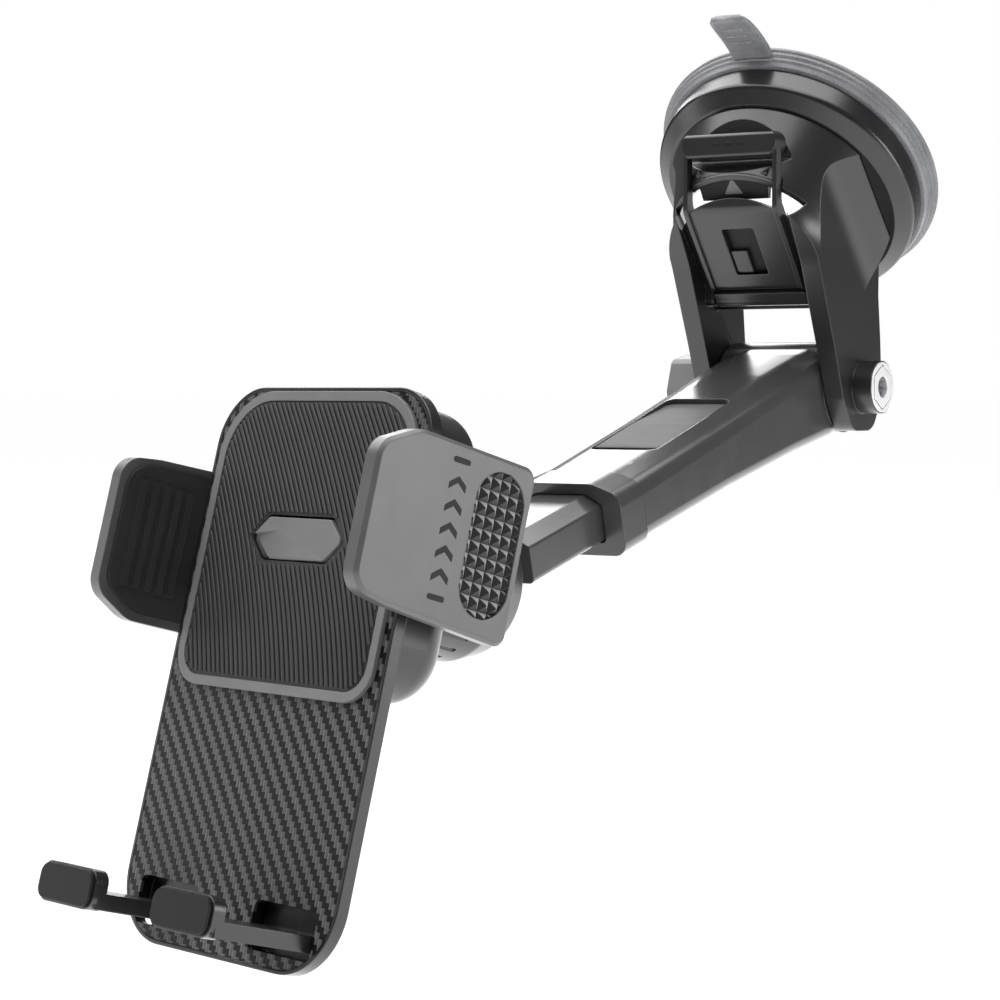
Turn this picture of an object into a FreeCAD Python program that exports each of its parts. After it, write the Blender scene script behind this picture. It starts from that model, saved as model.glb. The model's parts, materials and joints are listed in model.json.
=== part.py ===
import FreeCAD, Part
import math
import os

# Suction-cup phone mount, in millimetres.
# Row frame: origin at the centre of the suction face, X across the arm along the pivot bolt,
# Y away from the user, Z up.  The suction face looks up and away from the user.

V = FreeCAD.Vector

# ---- driving dimensions ---------------------------------------------------
CUP_TILT = 43.2            # suction axis above the horizontal
CUP_R = 36.9               # rim of the gel pad
RIM_R = 34.0               # base ring outside the gel
DOME_R = 29.3              # foot of the yoke dome
RING_LOW = 5.2             # heights above the suction face
RING_HIGH = 12.4
DOME_FOOT = 14.6
RIM_H = 31.5               # front rim of the dome
RIM_OUT = 22.5
DOME_WALL = 1.8
FLOOR_H = 16.8             # floor of the hollow inside the dome
HOLLOW_HALF = 18.2         # half width of that hollow
LINER = 1.0
ROD_R = 3.0

LEVER_PIN_Y = -18.2        # lock lever hinge
LEVER_PIN_Z = -33.8
LEVER_HALF = 12.9
CROWN_Z = -11.0            # arched top of the catch and of the lever's plate
CROWN_R = 22.5

PIVOT_Y = -4.8             # arm pivot
PIVOT_Z = -57.2
LEG_OUT = 20.5             # yoke legs
LEG_IN = 15.5
LEG_END_R = 11.0
BOLT_R = 2.6
BARREL_R = 11.4
BARREL_HALF = 15.2

BALL_Y = -161.1            # ball joint centre
BALL_Z = -97.8
BALL_R = 9.0
NECK_R = 4.0
CONE = 37.5                # free cone of the ball joint, half angle
GAP = 0.3                  # between curved faces that move past each other
RUN = 0.08                 # radial clearance of a pin in its bore

ARM_LENGTH = math.hypot(BALL_Y - PIVOT_Y, BALL_Z - PIVOT_Z)
ARM_SLOPE = math.degrees(math.atan2(PIVOT_Z - BALL_Z, PIVOT_Y - BALL_Y))
TUBE_HALF = 14.5           # outer tube
TUBE_LOW = -8.3
TUBE_TOP = 4.7
MOUTH = 113.5
BORE_HALF = 10.3
BORE_LOW = -5.9
BORE_TOP = 5.1
SLIDE_GAP = 0.25
INNER_START = 40.0

LEAN = 15.26               # cradle leans back
YAW = 13.0                 # cradle turned towards the driver
PLATE_FRONT = -40.0        # cradle depths, measured back from the ball centre
PLATE_BACK = -37.3
PLATE_HALF = 32.5
PLATE_LOW = -82.7
PLATE_TOP = 31.0
HOUSING_BACK = -22.0
HOUSING_HALF = 30.5
HOUSING_TALL = 29.0

CLAMP_IN = 36.0            # gripping face of a clamp
CLAMP_OUT = 40.5
CLAMP_FRONT = -59.0
CLAMP_BACK = -18.6
CLAMP_V = 2.5              # mid height of the clamp jaws
TOOTH = 1.0                # gear module
PINION_TEETH = 10
PITCH_R = TOOTH * PINION_TEETH / 2
GEAR_FRONT = -32.4
GEAR_BACK = -28.2

FOOT_IN = 9.3
FOOT_OUT = 27.0
FOOT_LOW = -77.8
FOOT_TALL = 3.4


# ---- shape helpers --------------------------------------------------------
def spot(plane, a, b, depth=0.0):
    """Turn plane coordinates into a point: xy, xz or yz."""
    if plane == "xy":
        return V(a, b, depth)
    if plane == "xz":
        return V(a, depth, b)
    return V(depth, a, b)


def outline(points, plane, depth=0.0):
    """Closed wire through (a, b) or (a, b, corner radius) points."""
    ends = []
    count = len(points)
    for i, point in enumerate(points):
        here = V(point[0], point[1], 0)
        radius = point[2] if len(point) > 2 else 0
        if radius == 0:
            ends.append((here, None, here))
            continue
        back = (V(points[i - 1][0], points[i - 1][1], 0) - here).normalize()
        ahead_point = points[(i + 1) % count]
        ahead = (V(ahead_point[0], ahead_point[1], 0) - here).normalize()
        half = back.getAngle(ahead) / 2
        reach = radius / math.tan(half)
        inward = (back + ahead).normalize()
        middle = here + inward * (radius / math.sin(half) - radius)
        ends.append((here + back * reach, middle, here + ahead * reach))
    edges = []
    for i, (start, middle, end) in enumerate(ends):
        if middle is not None:
            arc = [spot(plane, p.x, p.y, depth) for p in (start, middle, end)]
            edges.append(Part.Arc(*arc).toShape())
        following = ends[(i + 1) % count][0]
        if (following - end).Length > 1e-6:
            pair = [spot(plane, p.x, p.y, depth) for p in (end, following)]
            edges.append(Part.LineSegment(*pair).toShape())
    return Part.Wire(edges)


def slab(points, plane, low, high):
    """Outline pushed from low to high along the plane's normal."""
    face = Part.Face(outline(points, plane, low))
    return face.extrude(spot(plane, 0, 0, high - low))


def box(x0, x1, y0, y1, z0, z1):
    return Part.makeBox(x1 - x0, y1 - y0, z1 - z0, V(x0, y0, z0))


def turned(points):
    """Solid of revolution about Z from (radius, height) points."""
    face = Part.Face(outline(points, "xz"))
    return face.revolve(V(0, 0, 0), V(0, 0, 1), 360)


def rod_x(x0, x1, radius, y=0.0, z=0.0):
    return Part.makeCylinder(radius, x1 - x0, V(x0, y, z), V(1, 0, 0))


def rod_y(y0, y1, radius, x=0.0, z=0.0):
    return Part.makeCylinder(radius, y1 - y0, V(x, y0, z), V(0, 1, 0))


def rounded_rect(half, low, high, radius):
    return [(-half, low, radius), (half, low, radius), (half, high, radius), (-half, high, radius)]


def mirrored(shape):
    return shape.mirror(V(0, 0, 0), V(1, 0, 0))


def hexagon(across_flats, turn=0.0):
    reach = across_flats / 2 / math.cos(math.radians(30))
    corners = [math.radians(turn + 60 * k) for k in range(6)]
    return [(reach * math.cos(a), reach * math.sin(a)) for a in corners]


def coil(radius, wire_r, length, turns):
    """Compression spring along Z."""
    helix = Part.makeHelix(length / turns, length, radius)
    ring = Part.Wire(Part.makeCircle(wire_r, V(radius, 0, 0), V(0, 1, 0)))
    return Part.Wire(helix).makePipeShell([ring], True, True)


# ---- frames ---------------------------------------------------------------
def on_cup(shape):
    """Local Z rises from the suction face, local Y points up the disc."""
    shape.rotate(V(0, 0, 0), V(1, 0, 0), 90 + CUP_TILT)
    return shape


def on_arm(shape):
    """Local -Y runs from the pivot to the ball, local Z is the arm's top side."""
    shape.rotate(V(0, 0, 0), V(1, 0, 0), ARM_SLOPE)
    shape.translate(V(0, PIVOT_Y, PIVOT_Z))
    return shape


def on_cradle(shape):
    """Local origin at the ball, Y back from the phone, Z up the phone."""
    shape.rotate(V(0, 0, 0), V(1, 0, 0), -LEAN)
    shape.rotate(V(0, 0, 0), V(0, 0, 1), -YAW)
    shape.translate(V(0, BALL_Y, BALL_Z))
    return shape


# ---- suction base ---------------------------------------------------------
def suction_pad():
    disc = turned([(0, 0), (CUP_R, 0), (CUP_R, 1.2, 0.5), (RIM_R + 0.4, RING_LOW - 0.2, 1.0),
                   (RIM_R - 4, RING_LOW - 0.2), (RIM_R - 6, 2.6), (12, 2.6), (9, 7.5), (0, 7.5)])
    well = Part.makeCylinder(ROD_R + 0.6, 6, V(0, 0, 2.2))
    tab_side = [(34.0, 0.6), (38.6, 1.0, 3), (46.5, 3.6, 6), (52.0, 6.6), (51.2, 8.4),
                (45.5, 5.6, 6), (38.0, 3.6, 3), (34.0, 3.6)]
    tab = slab(tab_side, "yz", -5.6, 5.6)
    return on_cup(disc.fuse(tab).cut(well).removeSplitter())


def base_ring():
    shell = turned([(RIM_R - 3.6, RING_LOW), (RIM_R, RING_LOW, 0.4), (RIM_R, RING_HIGH - 1.0, 1.6),
                    (DOME_R + 0.8, DOME_FOOT - 0.2), (ROD_R + 0.5, DOME_FOOT - 0.2),
                    (ROD_R + 0.5, 10.6), (RIM_R - 3.6, 10.6)])
    return on_cup(shell)


def dome_body():
    """Truncated cone that stands on the base ring, with flared flat sides."""
    dome = turned([(0, DOME_FOOT), (DOME_R, DOME_FOOT), (RIM_OUT, RIM_H, 0.5), (0, RIM_H)])
    rear = Part.makeCylinder(DOME_R, RIM_H - DOME_FOOT, V(0, 0, DOME_FOOT))
    rear = rear.common(box(-60, 60, -60, 0, DOME_FOOT, RIM_H))
    sides = slab([(-26.2, DOME_FOOT), (26.2, DOME_FOOT), (LEG_OUT, 22.5, 12), (LEG_OUT, 40),
                  (-LEG_OUT, 40), (-LEG_OUT, 22.5, 12)], "xz", -60, 60)
    dome = on_cup(dome.fuse(rear).common(sides))
    return dome.common(slab(leg_profile(), "yz", -30, 30))


def leg_profile():
    """Side view of the yoke legs, (y, z), from the dome's face down round the pivot."""
    front = [(-20.0, 30.0), (-60.0, 30.0), (-60.0, -10.0), (-37.6, -12.6, 1), (-36.4, -16.0, 6),
             (-30.0, -26.5, 20), (-21.3, -46.5, 30)]
    foot = [(PIVOT_Y - LEG_END_R, PIVOT_Z - 3, 3), (PIVOT_Y - 5.5, PIVOT_Z - LEG_END_R, 5),
            (PIVOT_Y + 6.0, PIVOT_Z - LEG_END_R, 6), (PIVOT_Y + LEG_END_R, PIVOT_Z - 2, 6)]
    rear = [(5.2, -45.0, 20), (3.9, -34.0, 10), (4.1, -25.5), (-8.0, -8.0)]
    return front + foot + rear


def leg_shoulder():
    """Rounded form that narrows the legs where they meet the dome's rim."""
    cone = turned([(0, DOME_FOOT), (DOME_R, DOME_FOOT), (20.4, 36.5, 14), (20.9, 42.0, 6),
                   (20.9, 95), (0, 95)])
    below = box(-60, 60, -80, 0, DOME_FOOT, 95)
    return on_cup(cone.fuse(below))


def hollow(gap):
    """Space inside the dome and between the legs, drawn in by a gap."""
    half = HOLLOW_HALF - gap
    floor_h = FLOOR_H + gap
    leg_in = LEG_IN - gap
    funnel = turned([(0, floor_h), (DOME_R - 3.1 - gap, floor_h),
                     (RIM_OUT - DOME_WALL - gap, RIM_H + 0.6), (0, RIM_H + 0.6)])
    ceiling = slab([(-60, floor_h), (18.0 - gap, floor_h), (18.4 - gap, 26.0), (22.5 - gap, 32.4),
                    (-60, 32.4)], "yz", -half, half)
    open_back = box(-half, half, -60, 0, floor_h, 32.4)
    between = slab([(-half, 32.0), (half, 32.0), (leg_in, 37.5), (leg_in, 95), (-leg_in, 95),
                    (-leg_in, 37.5)], "xz", -60, 60)
    return on_cup(funnel.common(ceiling).fuse([open_back, between]))


def above_plate():
    """Everything on the user's side of the dome foot."""
    return on_cup(Part.makeCylinder(90, 90, V(0, 0, DOME_FOOT)))


# The catch behind the lever, in side view (y, z).
SHELF = [(-36.4, -12.5, 1.5), (-21.4, -31.6, 1.0), (-21.4, -36.6, 1.5), (-14.5, -36.6, 1.5),
         (-14.5, -31.0), (-31.0, -10.5, 1.5)]


def arched():
    """Everything below the arched top edge, seen from the front."""
    return rod_y(-60, 30, CROWN_R, 0, CROWN_Z - CROWN_R)


def yoke():
    legs = slab(leg_profile(), "yz", -LEG_OUT, LEG_OUT).common(leg_shoulder())
    body = legs.fuse(dome_body()).common(above_plate())
    body = body.cut(hollow(0))
    inside = HOLLOW_HALF + 0.2
    shelf = slab(SHELF, "yz", -inside, inside).common(arched())
    slot_half = LEVER_HALF + 0.3
    slot = slab([(-45, -9), (-30, -5), (-13.0, -26.5), (-13.0, -40), (-25, -40), (-25, -30)],
                "yz", -slot_half, slot_half)
    shelf = shelf.cut(slot)
    rail = box(-inside, inside, -12.4, -9.6, -37.4, -30.4)
    apron = slab([(-36.9, -5.2), (-34.4, -11.2), (-33.2, -11.2), (-34.6, -3.0)], "yz", -9.9, 9.9)
    taper = slab([(-9.9, 0), (-9.9, -4), (-8.9, -12), (8.9, -12), (9.9, -4), (9.9, 0)],
                 "xz", -45, -25)
    body = body.fuse([shelf, rail, apron.common(taper)])
    tab_pocket = slab([(-32.0, -1.6, 1.0), (-45.0, -8.6), (-45.0, 10.0), (-32.0, 10.0)], "yz",
                      -14, 14)
    tab_pocket = tab_pocket.common(slab(rounded_rect(14, -12.0, 9.6, 4.5), "xz", -46, -30))
    channels = [box(side - 1.0, side + 1.0, -45, -34.9, -20, 0) for side in (-12.3, 12.3)]
    body = body.cut([tab_pocket] + channels)
    boss = rod_x(LEG_OUT - 1, LEG_OUT + 5.2, 6.6, PIVOT_Y, PIVOT_Z)
    body = body.fuse(boss)
    body = body.cut(rod_x(-40, 40, BOLT_R + RUN, PIVOT_Y, PIVOT_Z))
    nut_pocket = slab(hexagon(10.2, 30), "yz", LEG_OUT + 1.2, LEG_OUT + 6)
    nut_pocket.translate(V(0, PIVOT_Y, PIVOT_Z))
    body = body.cut(nut_pocket)
    body = body.cut(rod_x(-LEG_IN - 1, LEG_IN + 1, 1.25, LEVER_PIN_Y, LEVER_PIN_Z))
    rod_hole = Part.makeCylinder(ROD_R + 0.5, 60, V(0, 0, 10))
    return body.cut(on_cup(rod_hole)).removeSplitter()


def arch_liner():
    """Pale inner lining of the dome's hollow and its floor."""
    lined = hollow(0.05).cut(hollow(LINER))
    reach = on_cup(box(-60, 60, -21.0, 60, FLOOR_H, RIM_H - 0.3))
    rod_hole = on_cup(Part.makeCylinder(ROD_R + 0.5, 60, V(0, 0, 0)))
    lined = lined.common(reach).cut([rod_hole, yoke()]).removeSplitter()
    return max(lined.Solids, key=lambda solid: solid.Volume)


def lever_pin():
    return rod_x(-LEG_IN - 0.9, LEG_IN + 0.9, 1.2, LEVER_PIN_Y, LEVER_PIN_Z)


def lock_lever():
    front = [(-37.2, 0), (-37.2, -14.0, 3), (-21.7, -33.6, 2), (-19.6, -31.4), (-34.9, -12.2, 3),
             (-35.4, 0)]
    plate = slab(front, "yz", -LEVER_HALF, LEVER_HALF).common(arched())
    edge = [(-37.8, 2.0), (-37.8, -14.2, 3), (-22.2, -34.0, 2), (-19.6, -31.4), (-34.9, -12.2, 3),
            (-35.4, 2.0)]
    rails = [slab(edge, "yz", side - 0.6, side + 0.6) for side in (0.6 - LEVER_HALF, LEVER_HALF - 0.6)]
    tab = slab([(-38.6, -1.2, 0.8), (-33.0, -0.4, 0.8), (-33.0, 5.2, 1.5), (-38.6, 4.6, 1.0)],
               "yz", -LEVER_HALF, LEVER_HALF)
    tab = tab.common(slab(rounded_rect(LEVER_HALF, -1.4, 5.4, 3.2), "xz", -45, -25))
    knuckle = rod_x(-LEVER_HALF, LEVER_HALF, 3.0, LEVER_PIN_Y, LEVER_PIN_Z)
    web = slab([(-22.2, -33.9), (-19.6, -31.4), (-17.0, -31.0), (-17.0, -36.7), (-19.5, -36.7)],
               "yz", -LEVER_HALF, LEVER_HALF)
    recess = slab(rounded_rect(4.4, -29.2, -18.4, 0.6), "xz", -45, -20)
    skin = slab([(-39, -12), (-33.9, -15.6), (-21.0, -31.6), (-26, -36), (-45, -25)], "yz", -6, 6)
    body = plate.fuse(rails + [tab, knuckle, web]).cut(recess.common(skin))
    return body.cut(rod_x(-20, 20, 1.2 + RUN, LEVER_PIN_Y, LEVER_PIN_Z)).removeSplitter()


def pull_rod():
    """Rod that draws the pad's hub in, with a spring seat and a flattened head."""
    rod = turned([(0, 6.2), (ROD_R, 6.2), (ROD_R, 22.4), (5.6, 22.4), (5.6, 23.6), (ROD_R, 23.6),
                  (ROD_R, 27.2, 0.8), (0, 27.2)])
    flats = [box(side - 3, side + 3, -6, 6, 23.6, 28) for side in (-4.6, 4.6)]
    return on_cup(rod.cut(flats))


def rod_spring():
    spring = coil(4.4, 0.35, 3.8, 2.5)
    spring.translate(V(0, 0, FLOOR_H + LINER + 0.4))
    return on_cup(spring)


# ---- pivot ----------------------------------------------------------------
def pivot_bolt():
    return rod_x(-LEG_OUT - 4, LEG_OUT + 1.9, BOLT_R, PIVOT_Y, PIVOT_Z)


def hex_nut():
    nut = slab(hexagon(10.0, 30), "yz", LEG_OUT + 1.3, LEG_OUT + 4.9)
    nut = nut.cut(rod_x(LEG_OUT, LEG_OUT + 6, BOLT_R + RUN))
    nut.translate(V(0, PIVOT_Y, PIVOT_Z))
    return nut


def knob():
    lobes = slab(hexagon(16.4, 12), "yz", -31.0, -23.4)
    round_off = rod_x(-31.0, -23.4, 9.0)
    neck = rod_x(-23.4, -LEG_OUT - 0.4, 5.4)
    dish = rod_x(-31.2, -30.2, 5.2)
    body = lobes.common(round_off).fuse(neck).cut(dish)
    body = body.cut(rod_x(-24.5, -18, BOLT_R))
    body.translate(V(0, PIVOT_Y, PIVOT_Z))
    return body.removeSplitter()


# ---- telescopic arm -------------------------------------------------------
def tube_section(half, low, ridge, crown, station):
    """Tube outline at a station along the arm: broad soft shoulders, rounded foot."""
    bevel = half * 0.45
    points = [(-half, low, 3.0), (half, low, 3.0), (half, ridge, 4.0), (half - bevel, crown, 8.0),
              (-half + bevel, crown, 8.0), (-half, ridge, 4.0)]
    return outline(points, "xz", -station)


def outer_arm():
    stations = [(9.0, 15.1, -10.6, 9.4, 10.8), (28.0, 15.0, -9.4, 8.0, 10.2),
                (62.0, 14.7, -8.4, 6.2, 8.4), (MOUTH - 10.2, TUBE_HALF, TUBE_LOW, TUBE_TOP, 6.9)]
    wires = [tube_section(half, low, ridge, crown, s) for s, half, low, ridge, crown in stations]
    body = Part.makeLoft(wires, True, True)
    root = tube_section(15.1, -10.6, 9.4, 10.8, 9.0)
    root = Part.Face(root).extrude(V(0, 8.0, 0))
    barrel = rod_x(-BARREL_HALF, BARREL_HALF, BARREL_R)
    body = body.fuse([root, barrel])
    cavity = slab([(-BORE_HALF, BORE_LOW, 1.0), (BORE_HALF, BORE_LOW, 1.0), (BORE_HALF, 2.8, 0.6),
                   (BORE_HALF - 4, BORE_TOP, 0.8), (4 - BORE_HALF, BORE_TOP, 0.8),
                   (-BORE_HALF, 2.8, 0.6)], "xz", -MOUTH - 5, -14.5)
    body = body.cut(cavity)
    body = body.cut(rod_x(-30, 30, BOLT_R + RUN))
    pocket = slab(rounded_rect(8.7, -86.0, -46.8, 2.5), "xy", BORE_TOP + 0.5, 14)
    return on_arm(body.cut(pocket).removeSplitter())


def arm_collar():
    """Bezel round the mouth of the outer tube."""
    ring = Part.Face(tube_section(TUBE_HALF + 0.6, TUBE_LOW - 0.6, TUBE_TOP + 0.2, 7.5, MOUTH - 10.1))
    ring = ring.extrude(V(0, -10.1, 0))
    cavity = slab([(-BORE_HALF, BORE_LOW, 1.0), (BORE_HALF, BORE_LOW, 1.0), (BORE_HALF, 2.8, 0.6),
                   (BORE_HALF - 4, BORE_TOP, 0.8), (4 - BORE_HALF, BORE_TOP, 0.8),
                   (-BORE_HALF, 2.8, 0.6)], "xz", -MOUTH - 5, -MOUTH + 15)
    return on_arm(ring.cut(cavity))


def arm_button():
    """Flush release plate let into the top of the outer tube."""
    plate = slab(rounded_rect(8.4, -85.7, -47.1, 2.3), "xy", BORE_TOP + 2.1, 8.0)
    lean = math.degrees(math.atan2(10.2 - 6.9, MOUTH - 10.2 - 28.0))
    top = box(-20, 20, -200, 60, 0, 20)
    top.rotate(V(0, 0, 0), V(1, 0, 0), lean)
    top.translate(V(0, -86.0, 7.1))
    return on_arm(plate.cut(top))


def button_spring():
    spring = coil(2.6, 0.3, 0.9, 1.5)
    spring.translate(V(0, -66.0, BORE_TOP + 0.85))
    return on_arm(spring)


def inner_arm():
    half = BORE_HALF - SLIDE_GAP
    tube = slab([(-half, BORE_LOW + SLIDE_GAP, 1.2), (half, BORE_LOW + SLIDE_GAP, 1.2),
                 (half, 2.5, 0.7), (half - 4, BORE_TOP - SLIDE_GAP, 0.8),
                 (4 - half, BORE_TOP - SLIDE_GAP, 0.8), (-half, 2.5, 0.7)],
                "xz", -ARM_LENGTH + 18.0, -INNER_START)
    hollow = box(-half + 2, half - 2, -ARM_LENGTH + 32, -INNER_START + 1, BORE_LOW + 2.2, 2.2)
    return on_arm(tube.cut(hollow))


def ball_stud():
    ball = Part.makeSphere(BALL_R, V(0, -ARM_LENGTH, 0))
    neck = rod_y(-ARM_LENGTH, -ARM_LENGTH + 18.0, NECK_R)
    return on_arm(ball.fuse(neck).removeSplitter())


# ---- ball joint -----------------------------------------------------------
def cap(inner, outer, reach):
    """Spherical shell in front of the ball, cut off at depth reach."""
    shell = Part.makeSphere(outer).cut(Part.makeSphere(inner))
    return on_cradle(shell.common(box(-20, 20, -20, reach, -20, 20)))


def ball_liner():
    return cap(BALL_R + GAP, BALL_R + GAP + 0.8, -6.5)


def socket_liner():
    return cap(BALL_R + 2 * GAP + 0.8, BALL_R + 2 * GAP + 1.6, -6.5)


SOCKET_R = BALL_R + 3 * GAP + 1.6
SOCKET_OUT = 13.8


def ball_nut():
    rise = math.tan(math.radians(CONE))
    lip = 4.5
    lip_r = 8.35
    ring = turned([(SOCKET_OUT + GAP, -15.6), (16.0, -15.6, 0.8), (16.0, 3.0, 3), (13.4, 9.6, 0.8),
                   (lip_r + (9.6 - lip) * rise, 9.6), (lip_r, lip), (lip_r + 1.2, 2.2),
                   (SOCKET_OUT + GAP, 0.6)])
    ring.rotate(V(0, 0, 0), V(1, 0, 0), -90)
    grooves = []
    for k in range(24):
        angle = math.radians(15 * k)
        grooves.append(rod_y(-14.0, -1.0, 0.7, 16.3 * math.cos(angle), 16.3 * math.sin(angle)))
    return on_cradle(ring.cut(grooves))


# ---- cradle ---------------------------------------------------------------
BAR_LOW = PITCH_R - TOOTH * 0.6
BAR_HIGH = 12.0
BAR_FRONT = GEAR_FRONT + 0.2
BAR_BACK = GEAR_BACK - 0.2
KEY_REST = -34.2


def rear_housing():
    body = slab(rounded_rect(HOUSING_HALF, -HOUSING_TALL, HOUSING_TALL, 11), "xz",
                PLATE_BACK, HOUSING_BACK)
    rear_edges = [e for e in body.Edges if abs(e.CenterOfMass.y - HOUSING_BACK) < 1e-3]
    body = body.makeFillet(7.0, rear_edges)
    cavity = slab(rounded_rect(HOUSING_HALF - 2.2, -HOUSING_TALL + 2.2, HOUSING_TALL - 2.2, 9),
                  "xz", PLATE_BACK - 1, -26.4)
    body = body.cut(cavity)
    for sign in (1, -1):
        low, high = sorted((sign * (BAR_LOW - 0.9), sign * (BAR_HIGH + 0.2)))
        window = box(20, 40, BAR_FRONT - 0.2, BAR_BACK + 0.2, low, high)
        body = body.cut(window if sign > 0 else mirrored(window))
    spine_slot = box(-7.4, 7.4, PLATE_BACK - 1, -35.0, -40, -20)
    body = body.cut(spine_slot)
    posts = [rod_y(PLATE_BACK, -26, 2.6, x, z) for x in (-19, 19) for z in (-19, 19)]
    guides = [box(-24, 24, BAR_BACK + 0.2, -26, z0, z0 + 6) for z0 in (6.2, -12.2)]
    struts = [box(x - 2, x + 2, KEY_REST, KEY_REST + 1.3, -19, 19) for x in (-21, 21)]
    bridge = box(-21, 21, KEY_REST, KEY_REST + 1.3, -2.4, 2.4)
    axle_boss = rod_y(GEAR_BACK + 0.1, -26, 2.8)
    body = body.fuse(posts + guides + struts + [bridge, axle_boss])
    socket = rod_y(HOUSING_BACK - 2.0, -1.2, SOCKET_OUT)
    body = body.fuse(socket)
    body = body.cut(Part.makeSphere(SOCKET_R))
    body = body.cut(rod_y(-3.0, 2, SOCKET_R - 0.1))
    for x in (-19, 19):
        for z in (-19, 19):
            body = body.cut(rod_y(PLATE_BACK - 1, HOUSING_BACK + 1, 1.05, x, z))
            body = body.cut(rod_y(HOUSING_BACK - 2.4, HOUSING_BACK + 1, 2.15, x, z))
    body = body.cut(rod_y(-29, -25.6, 1.15))
    return on_cradle(body.removeSplitter())


def plate_outline(half, low, high, foot, head):
    return [(-half, low, foot), (half, low, foot), (half, high, head), (-half, high, head)]


def foot_slots(low, high):
    slots = []
    for side in (-1, 1):
        x0, x1 = sorted((side * (FOOT_IN - 0.5), side * (FOOT_OUT + 0.3)))
        slots.append(slab([(x0, low, 1.5), (x1, low, 1.5), (x1, high, 1.5), (x0, high, 1.5)],
                          "xz", -50, -30))
    return slots


def cradle_plate():
    plate = slab(plate_outline(PLATE_HALF, PLATE_LOW, PLATE_TOP, 14, 12), "xz",
                 PLATE_FRONT, PLATE_BACK)
    recess = slab(plate_outline(PLATE_HALF - 0.8, PLATE_LOW + 0.8, PLATE_TOP - 0.8, 13.2, 11.2),
                  "xz", PLATE_FRONT - 1, PLATE_FRONT + 0.6)
    plate = plate.cut([recess] + foot_slots(-79.3, -69.8))
    key_hole = slab(key_outline(0.35), "xz", -50, -30)
    return on_cradle(plate.cut(key_hole))


def carbon_sheet():
    sheet = slab(plate_outline(PLATE_HALF - 0.9, PLATE_LOW + 0.9, PLATE_TOP - 0.9, 13.1, 11.1),
                 "xz", PLATE_FRONT, PLATE_FRONT + 0.6)
    opening = slab(pad_outline(-1.2), "xz", -50, -30)
    return on_cradle(sheet.cut([opening] + foot_slots(-79.3, -69.8)))


def pad_outline(grow):
    half = 30.0 + grow
    return [(-half, -30.8 - grow, 7.5 + grow), (half, -30.8 - grow, 7.5 + grow),
            (half, 30.0 + grow, 14 + grow), (-half, 30.0 + grow, 14 + grow)]


def key_outline(grow):
    half = 14.0 + grow
    tall = 4.3 + grow
    return [(-half, 0, 1.2), (-half + 4.5, -tall, 1.5), (half - 4.5, -tall, 1.5), (half, 0, 1.2),
            (half - 4.5, tall, 1.5), (-half + 4.5, tall, 1.5)]


def pad_bezel():
    ring = slab(pad_outline(0), "xz", PLATE_FRONT - 1.0, PLATE_FRONT + 0.6)
    inside = slab(pad_outline(-2.0), "xz", -50, -30)
    # The bezel stands on the carbon sheet's edge and fills the sheet's opening.
    step = slab(pad_outline(1), "xz", PLATE_FRONT, PLATE_FRONT + 0.6)
    step = step.cut(slab(pad_outline(-1.25), "xz", -50, -30))
    return on_cradle(ring.cut([inside, step]))


def ribbed_pad():
    pad = slab(pad_outline(-2.05), "xz", PLATE_FRONT - 1.3, PLATE_FRONT + 0.6)
    pad = pad.cut(slab(key_outline(0.35), "xz", -50, -30))
    return on_cradle(pad)


def housing_screws():
    screws = []
    for x in (-19, 19):
        for z in (-19, 19):
            head = rod_y(HOUSING_BACK - 2.4, HOUSING_BACK - 0.6, 2.1, x, z)
            shank = rod_y(PLATE_BACK + 0.3, HOUSING_BACK - 2.4, 1.0, x, z)
            slot = box(x - 1.3, x + 1.3, HOUSING_BACK - 1.3, HOUSING_BACK, z - 0.3, z + 0.3)
            cross = box(x - 0.3, x + 0.3, HOUSING_BACK - 1.3, HOUSING_BACK, z - 1.3, z + 1.3)
            screws.append(head.fuse(shank).cut([slot, cross]).removeSplitter())
    return on_cradle(Part.makeCompound(screws))


def centre_key():
    head = slab(key_outline(0), "xz", PLATE_FRONT - 1.2, PLATE_BACK + 0.2)
    flange = box(-15.5, 15.5, PLATE_BACK + 0.1, PLATE_BACK + 0.9, -5.0, 5.0)
    facet = slab([(-5.6, 4.4), (5.6, 4.4), (0, -2.6)], "xz", PLATE_FRONT - 2, PLATE_FRONT - 0.6)
    return on_cradle(head.fuse(flange).cut(facet).removeSplitter())


def key_springs():
    springs = []
    for x in (-12.0, 12.0):
        spring = coil(1.5, 0.2, 1.6, 3)
        spring.rotate(V(0, 0, 0), V(1, 0, 0), -90)
        spring.translate(V(x, KEY_REST - 1.85, 0))
        springs.append(spring)
    return on_cradle(Part.makeCompound(springs))


# ---- clamps and their rack drive ------------------------------------------
def gear_tooth_half(radius, backlash):
    """Half the tooth's angle at a radius, for an involute of 20 degrees."""
    base = PITCH_R * math.cos(math.radians(20))
    pitch_roll = math.tan(math.radians(20)) - math.radians(20)
    pressure = math.acos(min(1.0, base / radius))
    roll = math.tan(pressure) - pressure
    return math.pi / (2 * PINION_TEETH) + pitch_roll - roll - backlash / (2 * PITCH_R)


def pinion():
    root = PITCH_R - 1.15 * TOOTH
    tip = PITCH_R + 0.8 * TOOTH
    base = PITCH_R * math.cos(math.radians(20))
    radii = [root, base + 0.02, PITCH_R, PITCH_R + 0.4, tip]
    points = []
    for tooth in range(PINION_TEETH):
        middle = 2 * math.pi * tooth / PINION_TEETH + math.pi / 2
        flank = [(r, gear_tooth_half(max(r, base + 0.02), 0.3)) for r in radii]
        for r, half in flank:
            points.append((r * math.cos(middle - half), r * math.sin(middle - half)))
        for r, half in reversed(flank):
            points.append((r * math.cos(middle + half), r * math.sin(middle + half)))
    body = slab(points, "xz", GEAR_FRONT + 0.4, GEAR_BACK - 0.4)
    return on_cradle(body.cut(rod_y(-40, -20, 1.2 + RUN)))


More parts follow.
